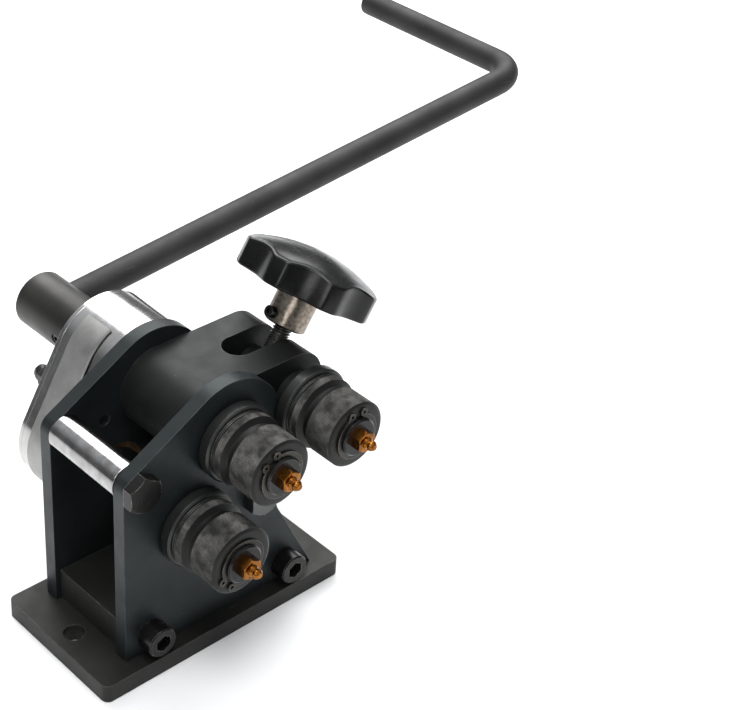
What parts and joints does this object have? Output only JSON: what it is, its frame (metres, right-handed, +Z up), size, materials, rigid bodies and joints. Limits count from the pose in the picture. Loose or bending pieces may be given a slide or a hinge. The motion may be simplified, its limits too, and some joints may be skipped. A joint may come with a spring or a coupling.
{
  "type": "ring roller",
  "caption": "Bench ring roller: geared knurled rollers in a bolted plate frame, a pressure roller on a screw-set arm, and a crank that bends a bar into rings.",
  "frame": {"origin": "centre of the base plate's underside", "axes": "+X along the base toward the pressure roller and the crank's reach, +Y from the rollers toward the gear housing, +Z up"},
  "size_m": [0.443, 0.3336, 0.1849],
  "materials": {
    "arm_steel": "black oxide, faint turning lines",
    "base_steel": "black oxide, satin",
    "brass": "turned brass",
    "bronze": "sintered bronze",
    "chrome_housing": "polished chrome sheet",
    "chrome_tube": "polished chrome tube",
    "circlip_steel": "phosphated spring steel",
    "crank_steel": "black oxide bar, brownish sheen",
    "fastener_black": "black oxide fastener",
    "fastener_dark": "dark fastener",
    "gear_steel": "cut gear, oiled",
    "hub_steel": "black oxide, turned",
    "knob_plastic": "black phenolic, glossy",
    "knurled_steel": "black oxide, fine diamond knurl",
    "label_aluminium": "bare brushed aluminium strip",
    "nickel_collar": "nickel, mottled",
    "plate_steel": "black oxide, satin, bluish grey",
    "screw_steel": "black oxide thread",
    "shaft_steel": "turned, dark",
    "turned_steel": "black oxide, turned, bright edges",
    "washer_steel": "ground washer"
  },
  "bodies": {
    "frame": {"base_plate": "base_steel", "base_screws": "fastener_black", "front_plate": "plate_steel", "rear_plate": "plate_steel", "spacer_block": "base_steel", "side_cap_screws": "fastener_black", "tie_tube": "chrome_tube", "tie_bolt": "fastener_black", "anchor_bolt": "fastener_black", "anchor_tubes": "chrome_tube", "gear_housing": "chrome_housing", "housing_cover": "chrome_housing", "housing_studs": "fastener_dark", "housing_nuts": "fastener_dark", "label_plate": "label_aluminium", "center_bush_front": "bronze", "center_bush_rear": "bronze", "lower_bush_front": "bronze", "lower_bush_rear": "bronze", "cover_bush": "bronze", "thrust_washers": "washer_steel"},
    "drive": {"center_shaft": "shaft_steel", "center_flange": "turned_steel", "center_roller": "knurled_steel", "center_circlip": "circlip_steel", "center_nipple": "brass", "center_key": "shaft_steel", "center_gear": "gear_steel", "center_gear_key": "shaft_steel", "crank_hub": "hub_steel", "crank_rod": "crank_steel", "hub_set_screws": "fastener_black"},
    "lower": {"lower_shaft": "shaft_steel", "lower_flange": "turned_steel", "lower_roller": "knurled_steel", "lower_circlip": "circlip_steel", "lower_nipple": "brass", "lower_key": "shaft_steel", "lower_gear": "gear_steel", "lower_gear_key": "shaft_steel", "lower_rear_circlip": "circlip_steel"},
    "arm": {"pressure_arm": "arm_steel", "arm_bush": "bronze", "shaft_retainer": "shaft_steel"},
    "pressure": {"pressure_shaft": "shaft_steel", "pressure_flange": "turned_steel", "pressure_roller": "knurled_steel", "pressure_circlip": "circlip_steel", "pressure_nipple": "brass", "pressure_key": "shaft_steel", "pressure_spacer": "turned_steel"},
    "swivel": {"swivel_nut": "arm_steel"},
    "trunnion": {"trunnion_block": "arm_steel", "journal_pin": "shaft_steel"},
    "screw": {"adjusting_screw": "screw_steel", "knob_collar": "nickel_collar", "collar_set_screw": "fastener_black", "knob": "knob_plastic"}
  },
  "joints": [
    {"name": "crank_turn", "type": "hinge", "parent": "frame", "child": "drive", "pos_m": [0.0053, 0, 0.1158], "axis": [0, 1, 0], "continuous": true},
    {"name": "lower_turn", "type": "hinge", "parent": "frame", "child": "lower", "pos_m": [-0.01693, 0, 0.07553], "axis": [0, 1, 0], "continuous": true},
    {"name": "arm_swing", "type": "hinge", "parent": "frame", "child": "arm", "pos_m": [0.0053, 0, 0.1158], "axis": [0, -1, 0], "range_deg": [-20, 4]},
    {"name": "pressure_turn", "type": "hinge", "parent": "arm", "child": "pressure", "pos_m": [0.0523, 0, 0.11629], "axis": [0, 1, 0], "continuous": true},
    {"name": "nut_swivel", "type": "hinge", "parent": "arm", "child": "swivel", "pos_m": [0.0523, 0, 0.11629], "axis": [0, -1, 0], "range_deg": [-2, 10]},
    {"name": "trunnion_swing", "type": "hinge", "parent": "frame", "child": "trunnion", "pos_m": [0.02404, 0, 0.0727], "axis": [0, -1, 0], "range_deg": [-10, 2]},
    {"name": "knob_spin", "type": "hinge", "parent": "trunnion", "child": "screw", "pos_m": [0.02404, 0, 0.0727], "axis": [0.5439, 0, 0.8391], "range_deg": [-684, 3420]}
  ],
  "couplings": [
    {"joint": "lower_turn", "follows": "crank_turn", "ratio": -1},
    {"joint": "arm_swing", "follows": "knob_spin", "ratio": -0.005848},
    {"joint": "trunnion_swing", "follows": "knob_spin", "ratio": -0.002924},
    {"joint": "nut_swivel", "follows": "knob_spin", "ratio": 0.002924}
  ]
}
